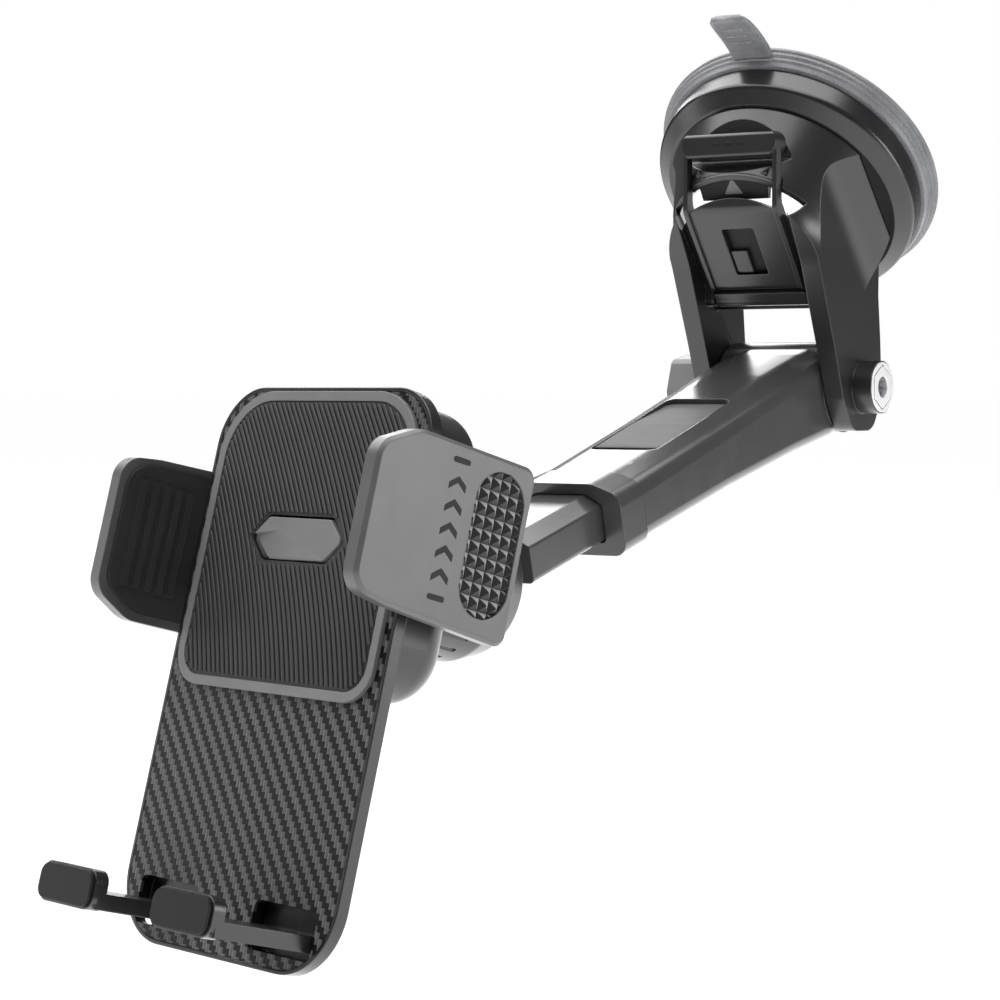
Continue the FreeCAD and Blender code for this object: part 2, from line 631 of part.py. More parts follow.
def pinion_axle():
    return on_cradle(rod_y(GEAR_FRONT + 0.1, -25.7, 1.15))


def rack(start, end):
    """Toothed bar along X whose teeth point down to the pinion."""
    pitch = math.pi * TOOTH
    slope = math.tan(math.radians(20))
    tip = BAR_LOW
    root = PITCH_R + 1.15 * TOOTH
    half_pitch = pitch / 4 - 0.08
    half_tip = half_pitch - (PITCH_R - tip) * slope
    half_root = half_pitch + (root - PITCH_R) * slope
    bar = box(start, end, BAR_FRONT, BAR_BACK, root, BAR_HIGH)
    teeth = []
    first = math.ceil((start + 1) / pitch)
    last = math.floor((end - 1) / pitch)
    for k in range(first, last):
        x = (k + 0.5) * pitch
        teeth.append(slab([(x - half_root, root + 0.05), (x - half_tip, tip), (x + half_tip, tip),
                           (x + half_root, root + 0.05)], "xz", BAR_FRONT, BAR_BACK))
    return bar.fuse(teeth)


def jaw_outline(shrink):
    """Side view (depth, height) of a clamp jaw."""
    low = CLAMP_V - 15.0 + shrink
    high = CLAMP_V + 14.5 - shrink
    return [(CLAMP_FRONT + shrink, low + 1.0, 5), (CLAMP_FRONT + shrink, high - 1.0, 5),
            (CLAMP_FRONT + 9, high + 3.6, 8), (CLAMP_BACK - shrink, high + 3.2, 3),
            (CLAMP_BACK - shrink, low - 2.4, 2.5), (CLAMP_FRONT + 9, low - 0.4, 8)]


def clamp_arm():
    jaw = slab(jaw_outline(0), "yz", CLAMP_IN + 0.9, CLAMP_OUT)
    outer = [e for e in jaw.Edges if abs(e.BoundBox.XMin - CLAMP_OUT) < 1e-3]
    jaw = jaw.makeChamfer(0.7, outer)
    socket = slab(grip_outline(0.1), "yz", CLAMP_OUT - 1.3, CLAMP_OUT + 1)
    jaw = jaw.cut(socket)
    bar = rack(-19.5, 30.0)
    neck = box(29.0, CLAMP_IN + 1.5, BAR_FRONT, BAR_BACK, PITCH_R + 1.0, BAR_HIGH)
    return jaw.fuse([bar, neck]).removeSplitter()


def clamp_pad():
    face = slab(jaw_outline(1.6), "yz", CLAMP_IN, CLAMP_IN + 0.9)
    notch = box(CLAMP_IN - 1, CLAMP_IN + 1, BAR_FRONT - 0.4, BAR_BACK + 0.4, 0, BAR_HIGH + 0.4)
    face = face.cut(notch)
    ribs = []
    for k in range(5):
        y = CLAMP_FRONT + 4.5 + 3.0 * k
        ribs.append(box(CLAMP_IN - 0.6, CLAMP_IN + 0.1, y, y + 1.6, CLAMP_V - 10.5, CLAMP_V + 11.5))
    return face.fuse(ribs).removeSplitter()


def grip_outline(grow):
    half = 6.3 + grow
    middle = -27.0
    low = CLAMP_V - 13.0 - grow
    high = CLAMP_V + 15.0 + grow
    corner = half - 0.2
    return [(middle - half, low, corner), (middle + half, low, corner),
            (middle + half, high, corner), (middle - half, high, corner)]


def grip_inlay():
    return slab(grip_outline(0), "yz", CLAMP_OUT - 1.3, CLAMP_OUT + 0.5)


def mirror_jaw(shape):
    """The left jaw is the right one turned half a turn about the cradle axis."""
    turned_bar = shape.copy()
    turned_bar.rotate(V(0, 0, 0), V(0, 1, 0), 180)
    return turned_bar


# ---- feet -----------------------------------------------------------------
def foot_bracket():
    high = FOOT_LOW + FOOT_TALL
    back = PLATE_BACK + 0.25
    hooks = []
    for side in (-1, 1):
        x0, x1 = sorted((side * FOOT_IN, side * (FOOT_OUT - 0.1)))
        arm = box(x0, x1, -63.0, back + 1.0, FOOT_LOW + 0.2, high)
        stop = slab([(x0, FOOT_LOW - 0.2, 2.6), (x1, FOOT_LOW - 0.2, 2.6), (x1, -70.2, 2.6),
                     (x0, -70.2, 2.6)], "xz", -64.2, -61.2)
        hooks.append(arm.fuse(stop))
    beam = slab([(-FOOT_OUT - 1, -81.0, 8), (FOOT_OUT + 1, -81.0, 8), (FOOT_OUT + 1, -67.0, 3),
                 (-FOOT_OUT - 1, -67.0, 3)], "xz", back, back + 1.9)
    spine = box(-6.8, 6.8, back, back + 1.9, -73.0, -14.0)
    return on_cradle(beam.fuse([spine] + hooks).removeSplitter())


def foot_pads():
    pads = []
    for side in (-1, 1):
        x0, x1 = sorted((side * (FOOT_IN + 0.5), side * (FOOT_OUT - 0.6)))
        pads.append(slab([(x0, FOOT_LOW + 0.3, 2.2), (x1, FOOT_LOW + 0.3, 2.2), (x1, -70.7, 2.2),
                          (x0, -70.7, 2.2)], "xz", -65.0, -64.2))
    return on_cradle(Part.makeCompound(pads))


# ---- build ----------------------------------------------------------------
def all_parts():
    right = {"clamp_arm_right": clamp_arm(), "clamp_pad_right": clamp_pad(),
             "grip_inlay_right": grip_inlay()}
    parts = {}
    for name, shape in right.items():
        parts[name] = on_cradle(shape.copy())
        parts[name.replace("right", "left")] = on_cradle(mirror_jaw(shape))
    makers = [suction_pad, base_ring, yoke, arch_liner, lever_pin, lock_lever, pull_rod, rod_spring,
              pivot_bolt, hex_nut, knob, outer_arm, arm_collar, arm_button, button_spring,
              inner_arm, ball_stud, ball_liner, socket_liner, ball_nut, rear_housing,
              cradle_plate, carbon_sheet, pad_bezel, ribbed_pad, housing_screws, centre_key,
              key_springs, pinion, pinion_axle, foot_bracket, foot_pads]
    for maker in makers:
        parts[maker.__name__] = maker()
    return parts


os.makedirs("parts", exist_ok=True)
for node, shape in all_parts().items():
    print(node, shape.ShapeType, len(shape.Solids), "valid" if shape.isValid() else "INVALID",
          round(shape.Volume, 1))
    shape.exportStep("parts/" + node + ".step")
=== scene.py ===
import json
import math

import bmesh
import bpy
import numpy as np
from mathutils import Matrix, Vector


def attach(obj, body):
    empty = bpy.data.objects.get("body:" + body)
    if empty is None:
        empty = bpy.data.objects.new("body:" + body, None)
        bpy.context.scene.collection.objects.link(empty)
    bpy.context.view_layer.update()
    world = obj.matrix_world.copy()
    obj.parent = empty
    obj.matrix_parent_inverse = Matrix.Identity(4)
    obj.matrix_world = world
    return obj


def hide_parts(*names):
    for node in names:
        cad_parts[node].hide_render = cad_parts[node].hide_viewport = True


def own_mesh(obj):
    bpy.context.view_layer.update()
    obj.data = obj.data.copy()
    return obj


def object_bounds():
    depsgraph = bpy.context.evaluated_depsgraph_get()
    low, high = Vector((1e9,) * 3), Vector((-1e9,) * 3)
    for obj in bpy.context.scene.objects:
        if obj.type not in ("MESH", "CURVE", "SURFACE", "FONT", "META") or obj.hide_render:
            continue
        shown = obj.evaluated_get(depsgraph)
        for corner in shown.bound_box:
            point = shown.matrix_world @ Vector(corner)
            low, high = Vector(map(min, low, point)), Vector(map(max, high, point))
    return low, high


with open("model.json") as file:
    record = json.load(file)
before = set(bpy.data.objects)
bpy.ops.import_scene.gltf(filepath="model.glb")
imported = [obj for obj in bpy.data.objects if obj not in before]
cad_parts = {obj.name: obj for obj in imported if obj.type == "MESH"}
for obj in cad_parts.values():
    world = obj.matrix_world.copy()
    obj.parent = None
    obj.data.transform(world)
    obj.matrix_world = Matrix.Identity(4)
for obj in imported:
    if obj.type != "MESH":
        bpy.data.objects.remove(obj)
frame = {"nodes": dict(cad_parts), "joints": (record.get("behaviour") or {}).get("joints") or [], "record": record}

cad_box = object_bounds()
MM = 0.001


# ---- frames taken from the record's joints --------------------------------
def basis(origin, x, y, z):
    """Matrix of a local frame with these axes."""
    matrix = Matrix((x, y, z)).transposed().to_4x4()
    matrix.translation = Vector(origin)
    return matrix


JOINTS = {j["name"]: j for j in frame["joints"]}
MOUNTS = {m["name"]: m for m in frame["record"]["mounts"]}


def axis_of(joint):
    return Vector(JOINTS[joint]["axis"])


def place_of(joint):
    return Vector(JOINTS[joint]["pos_m"])


# Cradle: x towards the right jaw, y back from the phone, z up the phone, origin at the ball.
CRADLE = basis(place_of("ball_spin"), axis_of("jaw_right_slide"), axis_of("ball_spin"),
               axis_of("foot_slide"))
# Arm: -y runs from the pivot to the ball, z is the arm's top side.
ARM = basis(place_of("arm_pivot"), axis_of("arm_pivot"), -axis_of("arm_telescope"),
            -axis_of("button_press"))
# Cup: z rises from the suction face into the base, y points up the disc.
CUP_RISE = -Vector(MOUNTS["suction_face"]["axis"])
CUP = basis(MOUNTS["suction_face"]["pos_m"], (1, 0, 0), CUP_RISE.cross(Vector((1, 0, 0))), CUP_RISE)


# ---- materials ------------------------------------------------------------
class Look:
    """A Principled material whose colour, roughness and relief come from procedural nodes."""

    def __init__(self, name, **constants):
        self.material = bpy.data.materials.new(name)
        self.material.use_nodes = True
        self.tree = self.material.node_tree
        self.shader = self.tree.nodes["Principled BSDF"]
        for key, value in constants.items():
            self.shader.inputs[key.replace("_", " ")].default_value = value
        self.place = self.node("ShaderNodeTexCoord").outputs["Object"]

    def node(self, kind, **settings):
        made = self.tree.nodes.new(kind)
        for key, value in settings.items():
            setattr(made, key, value)
        return made

    def join(self, output, socket):
        self.tree.links.new(output, socket)

    def sum(self, operation, first, second=0.0):
        """Math node on outputs or numbers."""
        made = self.node("ShaderNodeMath", operation=operation)
        for socket, value in zip(made.inputs, (first, second)):
            if isinstance(value, (int, float)):
                socket.default_value = value
            else:
                self.join(value, socket)
        return made.outputs["Value"]

    def inside(self, matrix):
        """Coordinates in a local frame instead of the row frame."""
        local = matrix.inverted()
        mapping = self.node("ShaderNodeMapping")
        mapping.inputs["Rotation"].default_value = local.to_euler()
        mapping.inputs["Location"].default_value = local.translation
        self.join(self.place, mapping.inputs["Vector"])
        return mapping.outputs["Vector"]

    def noise(self, size_mm, detail=2.0, stretch=(1, 1, 1), place=None):
        """Noise whose blotches are about size_mm across."""
        mapping = self.node("ShaderNodeMapping")
        mapping.inputs["Scale"].default_value = stretch
        self.join(place or self.place, mapping.inputs["Vector"])
        made = self.node("ShaderNodeTexNoise")
        made.inputs["Scale"].default_value = 1 / (size_mm * MM)
        made.inputs["Detail"].default_value = detail
        self.join(mapping.outputs["Vector"], made.inputs["Vector"])
        return made.outputs["Fac"]

    def ramp(self, value, stops):
        """Colour ramp through (position, grey or rgb) stops."""
        made = self.node("ShaderNodeValToRGB")
        band = made.color_ramp
        while len(band.elements) < len(stops):
            band.elements.new(0.5)
        for element, (position, colour) in zip(band.elements, stops):
            element.position = position
            rgb = (colour,) * 3 if isinstance(colour, (int, float)) else colour
            element.color = (*rgb, 1)
        self.join(value, made.inputs["Fac"])
        return made.outputs["Color"]

    def remap(self, value, low, high):
        """Value from 0..1 taken to low..high."""
        made = self.node("ShaderNodeMapRange")
        made.inputs["To Min"].default_value = low
        made.inputs["To Max"].default_value = high
        self.join(value, made.inputs["Value"])
        return made.outputs["Result"]

    def worn_edges(self, radius_mm):
        """Normals rounded over every edge, as moulding leaves them."""
        made = self.node("ShaderNodeBevel", samples=6)
        made.inputs["Radius"].default_value = radius_mm * MM
        return made.outputs["Normal"]

    def relief(self, height, depth_mm, before=None):
        made = self.node("ShaderNodeBump")
        made.inputs["Distance"].default_value = depth_mm * MM
        self.join(height, made.inputs["Height"])
        if before is not None:
            self.join(before, made.inputs["Normal"])
        return made.outputs["Normal"]

    def colour(self, output):
        self.join(output, self.shader.inputs["Base Color"])

    def rough(self, output):
        self.join(output, self.shader.inputs["Roughness"])

    def normal(self, output):
        self.join(output, self.shader.inputs["Normal"])


def shade(tone, amount):
    """The same tone, lighter or darker by a share."""
    return tuple(min(1.0, c * (1 + amount)) for c in tone)


def moulded(name, tone, gloss, grain_mm, grain_depth, edge_mm=0.3, **constants):
    """Moulded plastic: faint flow marks in the colour, spark-eroded grain, patchy gloss."""
    look = Look(name, **constants)
    look.colour(look.ramp(look.noise(9.0, 3.0),
                          [(0.3, shade(tone, -0.08)), (0.7, shade(tone, 0.08))]))
    look.rough(look.remap(look.noise(4.0, 4.0), gloss - 0.03, gloss + 0.04))
    grain = look.relief(look.noise(grain_mm, 3.0), grain_depth, look.worn_edges(edge_mm))
    look.normal(look.relief(look.noise(14.0, 1.0), 0.006, grain))
    return look.material


def turned_metal(name, tone, gloss, axis_stretch):
    """Machined metal with fine tool marks along one direction."""
    look = Look(name, Metallic=1.0)
    marks = look.noise(0.25, 4.0, axis_stretch)
    look.colour(look.ramp(marks, [(0.3, shade(tone, -0.06)), (0.7, shade(tone, 0.05))]))
    look.rough(look.remap(marks, gloss - 0.03, gloss + 0.05))
    look.normal(look.relief(marks, 0.0012, look.worn_edges(0.2)))
    return look.material


def gel():
    """Translucent grey gel with a fine speckle."""
    look = Look("gel", Subsurface_Weight=0.15, Subsurface_Scale=0.002, IOR=1.42)
    look.shader.inputs["Subsurface Radius"].default_value = (1.0, 1.0, 1.0)
    speckle = look.noise(0.35, 2.0)
    clouds = look.noise(7.0, 2.0)
    look.colour(look.ramp(look.sum("MULTIPLY", speckle, look.sum("ADD", clouds, 0.5)),
                          [(0.3, (0.105, 0.107, 0.112)), (0.7, (0.185, 0.187, 0.194))]))
    look.rough(look.remap(look.noise(2.0), 0.34, 0.48))
    look.normal(look.relief(speckle, 0.02, look.worn_edges(0.25)))
    return look.material


def pale_liner():
    """White gloss plastic with painted light: a little light of its own makes it glow, though it is no lamp."""
    # Painted glow: the emission stands in for a bright reflection on the liner.
    look = Look("pale_liner", Emission_Color=(1, 1, 1, 1), Emission_Strength=0.45)
    look.colour(look.ramp(look.noise(6.0, 2.0),
                          [(0.3, (0.86, 0.86, 0.87)), (0.7, (0.92, 0.92, 0.92))]))
    look.rough(look.remap(look.noise(3.0), 0.2, 0.3))
    look.normal(look.relief(look.noise(0.2), 0.003))
    return look.material


def twill():
    """Carbon twill under a clear coat: stepped cells in diagonal bands, each with its own fibres; the light cells
    carry a painted highlight along one edge.
    """
    look = Look("carbon", Specular_IOR_Level=0.16)
    flat = look.inside(CRADLE)
    parts = look.node("ShaderNodeSeparateXYZ")
    look.join(flat, parts.inputs["Vector"])
    across = look.sum("DIVIDE", parts.outputs["X"], 1.03 * MM)
    up = look.sum("DIVIDE", parts.outputs["Z"], 1.13 * MM)
    cell = look.sum("ADD", look.sum("FLOOR", across), look.sum("FLOOR", up))
    over = look.sum("LESS_THAN", look.sum("FLOORED_MODULO", cell, 4.0), 2.0)
    along_x = look.noise(0.12, 2.0, (0.06, 1, 1), flat)
    along_z = look.noise(0.12, 2.0, (1, 1, 0.06), flat)
    light = look.ramp(along_z, [(0.25, 0.040), (0.75, 0.075)])
    dark = look.ramp(along_x, [(0.25, 0.002), (0.75, 0.006)])
    # Painted highlight: a thin light grey strip along one edge of each light cell, the glint on its step.
    glint_strip = look.sum("LESS_THAN", look.sum("FRACT", across), 0.10)
    rim = look.node("ShaderNodeMix", data_type="RGBA")
    rim.inputs[7].default_value = (0.16, 0.16, 0.165, 1)
    look.join(glint_strip, rim.inputs[0])
    look.join(light, rim.inputs[6])
    mix = look.node("ShaderNodeMix", data_type="RGBA")
    look.join(over, mix.inputs[0])
    look.join(dark, mix.inputs[6])
    look.join(rim.outputs[2], mix.inputs[7])
    look.colour(mix.outputs[2])
    look.rough(look.remap(along_x, 0.30, 0.42))
    look.normal(look.relief(over, 0.02))
    return look.material


MATERIALS = {
    "gel": gel(),
    "gloss_black": moulded("gloss_black", (0.008, 0.008, 0.009), 0.26, 0.5, 0.0006, 0.4),
    "satin_black": moulded("satin_black", (0.012, 0.012, 0.013), 0.30, 0.16, 0.0008, 0.4),
    "satin_grey": moulded("satin_grey", (0.062, 0.062, 0.064), 0.36, 0.18, 0.004, 0.4),
    "pale_liner": pale_liner(),
    "steel": turned_metal("steel", (0.42, 0.42, 0.43), 0.3, (0.1, 1, 1)),
    "bright_steel": turned_metal("bright_steel", (0.80, 0.80, 0.81), 0.48, (0.1, 1, 1)),
    "matte_black": moulded("matte_black", (0.007, 0.007, 0.008), 0.5, 0.2, 0.006,
                           Specular_IOR_Level=0.2),
    "grey_plastic": moulded("grey_plastic", (0.105, 0.105, 0.108), 0.40, 0.2, 0.004),
    "nylon": moulded("nylon", (0.70, 0.69, 0.64), 0.42, 0.3, 0.006),
    "carbon": twill(),
    "black_rubber": moulded("black_rubber", (0.022, 0.022, 0.023), 0.42, 0.15, 0.006, 0.12,
                            Specular_IOR_Level=0.3),
    "grip_rubber": moulded("grip_rubber", (0.120, 0.120, 0.122), 0.26, 0.15, 0.001, 0.05),
}
# The tubes are a shade lighter than the yoke: painted light, a lighter copy of the same satin black for the arm's
# lit sheen; the release plate has a duller face.
PAINTED_LIGHT_TUBE = moulded("satin_black_tube_painted_light", (0.034, 0.034, 0.035), 0.22, 0.16, 0.0005, 0.4)
BUTTON = moulded("grey_plastic_dull", (0.060, 0.060, 0.062), 0.55, 0.2, 0.004,
                 Specular_IOR_Level=0.12)


def finish_cad_nodes():
    """Gives every CAD node the material of its slot in the record."""
    for part in frame["record"]["subparts"]:
        node = frame["nodes"][part["node"]]
        node.data.materials.clear()
        # The arm's tubes take the lighter copy with its painted light.
        own = {"arm_button": BUTTON, "outer_arm": PAINTED_LIGHT_TUBE, "inner_arm": PAINTED_LIGHT_TUBE, "arm_collar": PAINTED_LIGHT_TUBE}
        node.data.materials.append(own.get(part["node"], MATERIALS[part["material_slot"]]))


finish_cad_nodes()


# ---- shape helpers (local millimetres) --------------------------------------
def rounded(corners, steps=8):
    """Closed (a, b) outline from (a, b, corner radius) points."""
    out = []
    for i, (a, b, radius) in enumerate(corners):
        here = Vector((a, b))
        back = (Vector(corners[i - 1][:2]) - here).normalized()
        ahead = (Vector(corners[(i + 1) % len(corners)][:2]) - here).normalized()
        half = back.angle(ahead) / 2
        if radius == 0:
            out.append((a, b))
            continue
        centre = here + (back + ahead).normalized() * (radius / math.sin(half))
        start = here + back * (radius / math.tan(half)) - centre
        sweep = start.angle_signed(here + ahead * (radius / math.tan(half)) - centre)
        for k in range(steps + 1):
            turn = -sweep * k / steps
            point = centre + Matrix.Rotation(turn, 2) @ start
            out.append((point.x, point.y))
    return out


def prism(bm, loops, place, low, high):
    """Closed solid between two depths from an outline and its holes."""
    edges = []
    for loop in loops:
        verts = [bm.verts.new(place(a, b, low)) for a, b in loop]
        edges += [bm.edges.new((v, verts[(i + 1) % len(verts)])) for i, v in enumerate(verts)]
    face_normal = Vector(place(0, 0, 1)) - Vector(place(0, 0, 0))
    faces = [g for g in bmesh.ops.triangle_fill(bm, edges=edges, use_beauty=True,
                                                normal=face_normal)["geom"]
             if isinstance(g, bmesh.types.BMFace)]
    raised = bmesh.ops.extrude_face_region(bm, geom=faces)["geom"]
    rise = face_normal * (high - low)
    bmesh.ops.translate(bm, vec=rise, verts=[g for g in raised if isinstance(g, bmesh.types.BMVert)])


def ridge(bm, path, section, place):
    """Closed strip along (a, b) points with an (across, height) section; across runs along a."""
    rings = [[bm.verts.new(place(a + across, b, height)) for across, height in section]
             for a, b in path]
    count = len(section)
    for first, second in zip(rings, rings[1:]):
        for i in range(count):
            j = (i + 1) % count
            bm.faces.new((first[i], first[j], second[j], second[i]))
    bm.faces.new(rings[0][::-1])
    bm.faces.new(rings[-1])


def lathe(bm, profile, steps=160):
    """Solid of revolution about local Z from (radius, height) points."""
    rings = []
    for radius, height in profile:
        if radius == 0:
            rings.append([bm.verts.new((0, 0, height))])
            continue
        rings.append([bm.verts.new((radius * math.cos(2 * math.pi * k / steps),
                                    radius * math.sin(2 * math.pi * k / steps), height))
                      for k in range(steps)])
    for first, second in zip(rings, rings[1:] + rings[:1]):
        for k in range(steps):
            n = (k + 1) % steps
            if len(first) == 1 and len(second) == 1:
                continue
            if len(first) == 1:
                bm.faces.new((first[0], second[k], second[n]))
            elif len(second) == 1:
                bm.faces.new((first[k], second[0], first[n]))
            else:
                bm.faces.new((first[k], second[k], second[n], first[n]))


def finish(bm, name, matrix, slot, body, stands_for=(), turned=False, smooth=0.0):
    """Finished piece in the row frame; turned=True takes it half a turn about the cradle axis."""
    bmesh.ops.recalc_face_normals(bm, faces=bm.faces)
    mesh = bpy.data.meshes.new(name)
    bm.to_mesh(mesh)
    bm.free()
    if turned:
        mesh.transform(Matrix.Rotation(math.pi, 4, "Y"))
    mesh.transform(matrix @ Matrix.Scale(MM, 4))
    if smooth:
        mesh.shade_smooth()
        mesh.set_sharp_from_angle(angle=math.radians(smooth))
    mesh.materials.append(MATERIALS[slot])
    made = bpy.data.objects.new(name, mesh)
    bpy.context.scene.collection.objects.link(made)
    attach(made, body)
    if stands_for:
        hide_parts(*stands_for)
    return made


def facing_front(a, b, depth):
    """Plane of the cradle's front; depth grows towards the phone."""
    return (a, -depth, b)


def facing_right(a, b, depth):
    """Plane of a jaw's outer side; a is the cradle's depth axis."""
    return (depth, a, b)


# ---- phone rest pad ---------------------------------------------------------
def pad_edge(shrink):
    half = 27.95 - shrink
    return rounded([(-half, -28.75 + shrink, 5.45 - shrink), (half, -28.75 + shrink, 5.45 - shrink),
                    (half, half, 11.95 - shrink), (-half, half, 11.95 - shrink)])


def key_edge(grow):
    half = 14.0 + grow
    tall = 4.3 + grow
    return rounded([(-half, 0, 1.2), (-half + 4.5, -tall, 1.5), (half - 4.5, -tall, 1.5),
                    (half, 0, 1.2), (half - 4.5, tall, 1.5), (-half + 4.5, tall, 1.5)])


def within(loop, a, b):
    """Whether points (arrays a, b) lie inside a closed loop."""
    hit = np.zeros(a.shape, bool)
    for (a0, b0), (a1, b1) in zip(loop, loop[1:] + loop[:1]):
        crosses = (b0 > b) != (b1 > b)
        if b0 != b1:
            hit ^= crosses & (a < a0 + (b - b0) * (a1 - a0) / (b1 - b0))
    return hit


def runs(kept):
    """Index ranges of consecutive true values."""
    steps = np.flatnonzero(np.diff(np.concatenate(([0], kept.astype(int), [0]))))
    return list(zip(steps[::2], steps[1::2]))


RIB_PITCH = 1.45


def rest_pad():
    bm = bmesh.new()
    prism(bm, [pad_edge(0), key_edge(0.35)], facing_front, 39.4, 40.75)
    section = [(-0.60, 40.70), (0.60, 40.70), (0.46, 41.16), (0.30, 41.28), (-0.30, 41.28),
               (-0.46, 41.16)]
    border, hole = pad_edge(0.45), key_edge(0.8)
    height = np.arange(-28.3, 27.6, 0.2)
    share = (height + 28.75) / 56.7
    drift = 56.7 * (0.35 * (1 - share) + 0.225 * (1 - share ** 2))
    for k in range(-43, 20):
        across = k * RIB_PITCH + drift
        kept = within(border, across, height) & ~within(hole, across, height)
        for start, stop in runs(kept):
            if stop - start < 4:
                continue
            count = max(2, (stop - start) // 8 + 2)
            picks = np.unique(np.linspace(start, stop - 1, count).astype(int))
            ridge(bm, [(across[i], height[i]) for i in picks], section, facing_front)
    finish(bm, "rest_pad", CRADLE, "black_rubber", "cradle", ["ribbed_pad"])


# ---- centre key ---------------------------------------------------------------
def faceted_key():
    bm = bmesh.new()
    prism(bm, [key_edge(-0.05)], facing_front, 37.1, 40.3)
    prism(bm, [[(-15.5, -5), (15.5, -5), (15.5, 5), (-15.5, 5)]], facing_front, 36.4, 37.2)
    edge = key_edge(-0.05)
    rim = [bm.verts.new((a, -40.3, b)) for a, b in edge]
    top = {}
    for i, (a, b) in enumerate(edge):
        lowered = 0.95 if a < -3 and b < 0.5 else (0.45 if b < 0 and a < 9 else 0.1)
        top[i] = bm.verts.new((a * 0.985, -41.2 + lowered, b * 0.96))
    peak = bm.verts.new((-6.0, -41.2, 1.4))
    far = bm.verts.new((8.6, -41.15, -3.3))
    count = len(edge)
    for i in range(count):
        j = (i + 1) % count
        bm.faces.new((rim[i], rim[j], top[j], top[i]))
        if (edge[i][0] + edge[j][0]) / 2 < -6 and (edge[i][1] + edge[j][1]) / 2 > 0.0:
            bm.faces.new((top[i], top[j], peak))
        else:
            bm.faces.new((top[i], top[j], far))
    starts = [i for i in range(count) if (edge[i][0] + edge[(i + 1) % count][0]) / 2 < -6
              and (edge[i][1] + edge[(i + 1) % count][1]) / 2 > 0.0]
    first = [i for i in starts if (i - 1) % count not in starts][0]
    last = [(i + 1) % count for i in starts if (i + 1) % count not in starts][0]
    bm.faces.new((top[first], peak, far))
    bm.faces.new((peak, top[last], far))
    bm.faces.new(rim[::-1])
    finish(bm, "key_cap", CRADLE, "grey_plastic", "key", ["centre_key"])


# ---- jaw grips ----------------------------------------------------------------
GRIP_MIDDLE = -27.0
GRIP_HALF = 6.3
GRIP_LOW = -10.5
GRIP_HIGH = 17.5
STUD = 2.55


def painted_facet_light(name, frame_matrix):
    """Glossy rubber whose pyramids carry painted light: painted light on their upper rear half and painted shade
    on the other.
    """
    look = Look(name, Specular_IOR_Level=0.3)
    parts = look.node("ShaderNodeSeparateXYZ")
    look.join(look.inside(frame_matrix), parts.inputs["Vector"])
    shares = []
    for axis, middle in (("Y", GRIP_MIDDLE), ("Z", (GRIP_LOW + GRIP_HIGH) / 2)):
        cells = look.sum("DIVIDE", look.sum("SUBTRACT", parts.outputs[axis], middle * MM), STUD * MM)
        shares.append(look.sum("POWER", look.sum("FRACT", cells), 1.4))
    # Painted light: the upper rear half of each pyramid is lit and the rest shaded, by position alone.
    painted_lit_half = look.sum("GREATER_THAN", look.sum("ADD", shares[0], shares[1]), 1.0)
    grain = look.noise(0.15, 3.0)
    tone = look.sum("ADD", look.sum("MULTIPLY", painted_lit_half, 0.8), look.sum("MULTIPLY", grain, 0.2))
    look.colour(look.ramp(tone, [(0.0, 0.012), (0.2, 0.022), (0.8, 0.26), (1.0, 0.34)]))
    look.rough(look.remap(grain, 0.34, 0.44))
    look.normal(look.relief(grain, 0.001))
    return look.material


def studs(side):
    """Inlay with rows of pyramids, trimmed to its stadium outline."""
    bm = bmesh.new()
    columns, rows = 6, 12
    grid = {}
    for i in range(columns + 1):
        for j in range(rows + 1):
            grid[i, j] = bm.verts.new((39.75, GRIP_MIDDLE + (i - columns / 2) * STUD,
                                       (GRIP_LOW + GRIP_HIGH) / 2 + (j - rows / 2) * STUD))
    for i in range(columns):
        for j in range(rows):
            corners = [grid[i, j], grid[i + 1, j], grid[i + 1, j + 1], grid[i, j + 1]]
            middle = sum((v.co for v in corners), Vector()) / 4
            tip = bm.verts.new(middle + Vector((1.0, 0, 0)))
            for k in range(4):
                bm.faces.new((corners[k], corners[(k + 1) % 4], tip))
    edge = rounded([(GRIP_MIDDLE - GRIP_HALF, GRIP_LOW, 6.1), (GRIP_MIDDLE + GRIP_HALF, GRIP_LOW, 6.1),
                    (GRIP_MIDDLE + GRIP_HALF, GRIP_HIGH, 6.1), (GRIP_MIDDLE - GRIP_HALF, GRIP_HIGH, 6.1)],
                   10)
    for (a0, b0), (a1, b1) in zip(edge, edge[1:] + edge[:1]):
        along = Vector((0, a1 - a0, b1 - b0))
        if along.length < 1e-6:
            continue
        outward = Vector((0, along.z, -along.y))
        bmesh.ops.bisect_plane(bm, geom=bm.verts[:] + bm.edges[:] + bm.faces[:], dist=1e-5,
                               plane_co=(0, a0, b0), plane_no=outward, clear_outer=True)
    border = [e for e in bm.edges if len(e.link_faces) == 1]
    walls = bmesh.ops.extrude_edge_only(bm, edges=border)["geom"]
    for vert in (g for g in walls if isinstance(g, bmesh.types.BMVert)):
        vert.co.x = 39.25
    rest = [e for e in bm.edges if len(e.link_faces) == 1]
    bmesh.ops.contextual_create(bm, geom=rest)
    made = finish(bm, "grip_studs_" + side, CRADLE, "grip_rubber", "jaw_" + side,
                  ["grip_inlay_" + side], turned=side == "left")
    half_turn = Matrix.Rotation(math.pi if side == "left" else 0, 4, "Y")
    # The studs' painted light and shade replaces the plain grip rubber.
    made.data.materials[0] = painted_facet_light("grip_studs_" + side, CRADLE @ half_turn)


